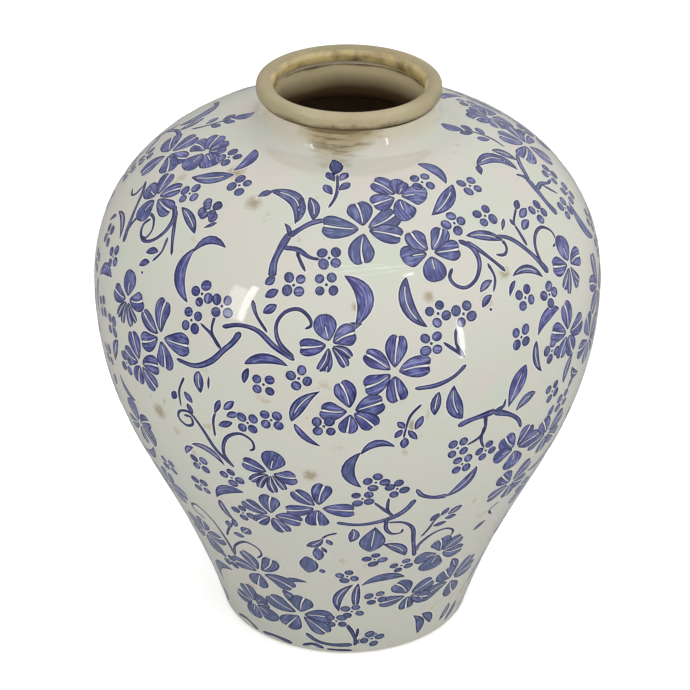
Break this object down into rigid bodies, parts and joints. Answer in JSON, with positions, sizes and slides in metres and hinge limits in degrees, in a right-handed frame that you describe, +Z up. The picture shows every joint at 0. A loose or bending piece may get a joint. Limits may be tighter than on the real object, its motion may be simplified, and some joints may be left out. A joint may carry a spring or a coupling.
{
  "type": "vase",
  "caption": "Wide-shouldered ceramic vase on a turned foot, with a short neck and a stained rolled lip, painted all round with cobalt-blue flowers, berries and leaves on an ivory glaze.",
  "frame": {"origin": "on the vase's axis, on the surface that the foot ring stands on", "axes": "+Z up along the vase's axis of rotation; -Y is the side that the painted pattern was composed for, +X to its right"},
  "size_m": [0.2592, 0.2592, 0.3],
  "materials": {
    "ivory_glaze": "glossy transparent glaze over an ivory tin glaze, with faint mottling",
    "cobalt_paint": "brushed cobalt blue under the same glossy glaze",
    "lip_stain": "satin olive-brown stain, wiped, darker in the hollows",
    "bisque_clay": "unglazed fired clay, dry and slightly gritty"
  },
  "bodies": {
    "root": {"foot_ring": "bisque_clay", "floor_disc": "bisque_clay", "lower_section": "ivory_glaze", "upper_section": "ivory_glaze", "neck_collar": "ivory_glaze", "lip_coil": "lip_stain"}
  },
  "joints": []
}
